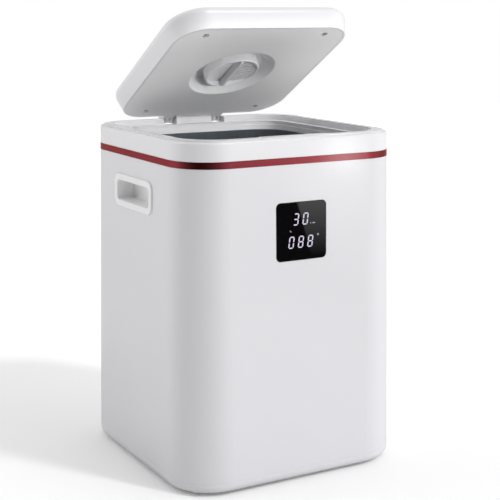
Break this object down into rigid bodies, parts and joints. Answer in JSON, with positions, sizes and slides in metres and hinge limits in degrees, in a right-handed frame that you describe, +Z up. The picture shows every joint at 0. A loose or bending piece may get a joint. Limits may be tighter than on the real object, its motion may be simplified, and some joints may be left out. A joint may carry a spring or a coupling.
{
  "type": "bucket towel warmer",
  "caption": "Rounded square towel warmer bucket that narrows upwards, with a heated metal liner, a digit display, side carrying cups and a hinged lid with a fragrance capsule.",
  "frame": {"origin": "on the floor, under the middle of the body", "axes": "+Z up, the display faces -Y, +X is to the right when one faces the display; the hinge is at +Y and the lid is saved 30 degrees open"},
  "size_m": [0.2996, 0.3016, 0.5472],
  "materials": {
    "white_gloss": "glossy white",
    "white_satin": "satin white",
    "red_band": "metallic dark red",
    "bucket_metal": "dark blue-grey coating",
    "display_black": "polished black",
    "digit_light": "lit",
    "foot_rubber": "matte",
    "screw_steel": "plain",
    "pin_steel": "polished",
    "inlet_black": "matte black",
    "brass": "plain",
    "board_green": "lacquered board",
    "component_grey": "moulded cases",
    "felt_grey": "felt",
    "film_amber": "polyimide film",
    "housing_grey": "moulded",
    "washer_nylon": "nylon"
  },
  "bodies": {
    "body": {"base_tray": "white_gloss", "rubber_feet": "foot_rubber", "outer_shell": "white_gloss", "case_screws": "screw_steel", "trim_band": "red_band", "rim_frame": "white_gloss", "handle_cup_left": "white_gloss", "handle_cup_right": "white_gloss", "inner_bucket": "bucket_metal", "bucket_screws": "screw_steel", "heating_film": "film_amber", "insulation_wrap": "felt_grey", "insulation_base": "felt_grey", "thermal_cutoff": "component_grey", "temperature_sensor": "component_grey", "display_glass": "display_black", "display_segments": "digit_light", "display_marks": "digit_light", "led_module": "component_grey", "display_housing": "housing_grey", "control_board": "board_green", "display_screws": "screw_steel", "control_board_screws": "screw_steel", "power_board": "board_green", "board_components": "component_grey", "power_board_screws": "screw_steel", "power_inlet": "inlet_black", "inlet_pins": "brass", "hinge_block": "white_gloss", "hinge_block_screws": "screw_steel", "hinge_pin": "pin_steel", "hinge_washers": "washer_nylon"},
    "lid": {"lid_cover": "white_gloss", "lid_panel": "white_satin", "lid_screws": "screw_steel", "lid_padding": "felt_grey", "hinge_leaf": "white_gloss", "leaf_screws": "screw_steel", "fragrance_cup": "white_satin", "fragrance_pad": "felt_grey"},
    "fragrance_cap": {"fragrance_cap": "white_satin"}
  },
  "joints": [
    {"name": "lid_hinge", "type": "hinge", "parent": "body", "child": "lid", "pos_m": [0, 0.139, 0.404], "axis": [-1, 0, 0], "range_deg": [-30, 60]},
    {"name": "cap_twist", "type": "hinge", "parent": "lid", "child": "fragrance_cap", "pos_m": [0, 0.02027, 0.46735], "axis": [0, -0.5, -0.866], "range_deg": [0, 35]}
  ]
}
